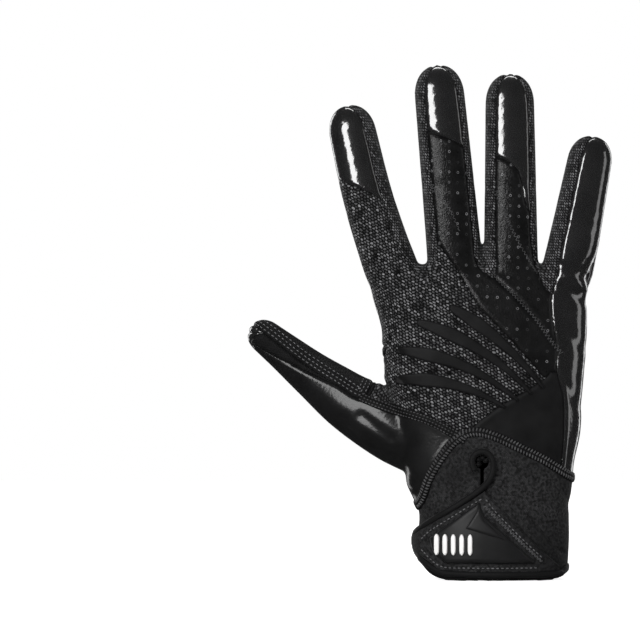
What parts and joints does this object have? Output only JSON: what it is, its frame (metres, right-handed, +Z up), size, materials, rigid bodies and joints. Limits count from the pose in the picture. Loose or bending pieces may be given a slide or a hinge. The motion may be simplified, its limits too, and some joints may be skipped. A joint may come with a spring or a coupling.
{
  "type": "football receiver glove",
  "caption": "Hollow right-hand receiver glove in its worn form, fingers up, with a glossy grip palm, knit back panels and a cuff closed by a hook flap.",
  "frame": {"origin": "centre of the wrist opening, at the height of the hem's lowest stretch", "axes": "+Z up towards the fingertips, +X towards the little finger, +Y towards the palm, so the back of the hand faces -Y"},
  "size_m": [0.1749, 0.0613, 0.2466],
  "materials": {
    "gloss_leather": "glossy coated synthetic leather",
    "back_knit": "coarse matte knit with raised nubs",
    "pinhole_knit": "fine satin knit with pinholes",
    "smooth_film": "smooth matte film on knit",
    "strip_knit": "matte ribbed knit",
    "neoprene": "matte knit-faced neoprene",
    "seam_thread": "matte cover stitch",
    "binding_tape": "matte folded tape",
    "black_rubber": "matte moulded rubber",
    "white_rubber": "satin moulded rubber"
  },
  "bodies": {
    "root": {"palm_panel": "gloss_leather", "thumb_palm_panel": "gloss_leather", "thumb_back_panel": "gloss_leather", "thumb_side_strip": "strip_knit", "thumb_web_panel": "strip_knit", "side_panel": "gloss_leather", "index_tip_cap": "gloss_leather", "middle_tip_cap": "gloss_leather", "ring_tip_cap": "gloss_leather", "knit_back_panel": "back_knit", "pinhole_middle_panel": "pinhole_knit", "pinhole_ring_panel": "pinhole_knit", "smooth_heel_panel": "smooth_film", "index_middle_strip": "strip_knit", "middle_ring_strip": "strip_knit", "ring_pinky_strip": "strip_knit", "cuff": "neoprene", "wrist_seam": "seam_thread", "back_fin_1": "smooth_film", "back_fin_2": "smooth_film", "back_fin_3": "smooth_film", "back_fin_4": "smooth_film", "closure_patch": "black_rubber", "closure_flap": "neoprene", "flap_binding": "binding_tape", "flap_pad": "black_rubber", "grip_rib_1": "white_rubber", "grip_rib_2": "white_rubber", "grip_rib_3": "white_rubber", "grip_rib_4": "white_rubber", "grip_rib_5": "white_rubber", "hem_binding": "binding_tape"}
  },
  "joints": []
}
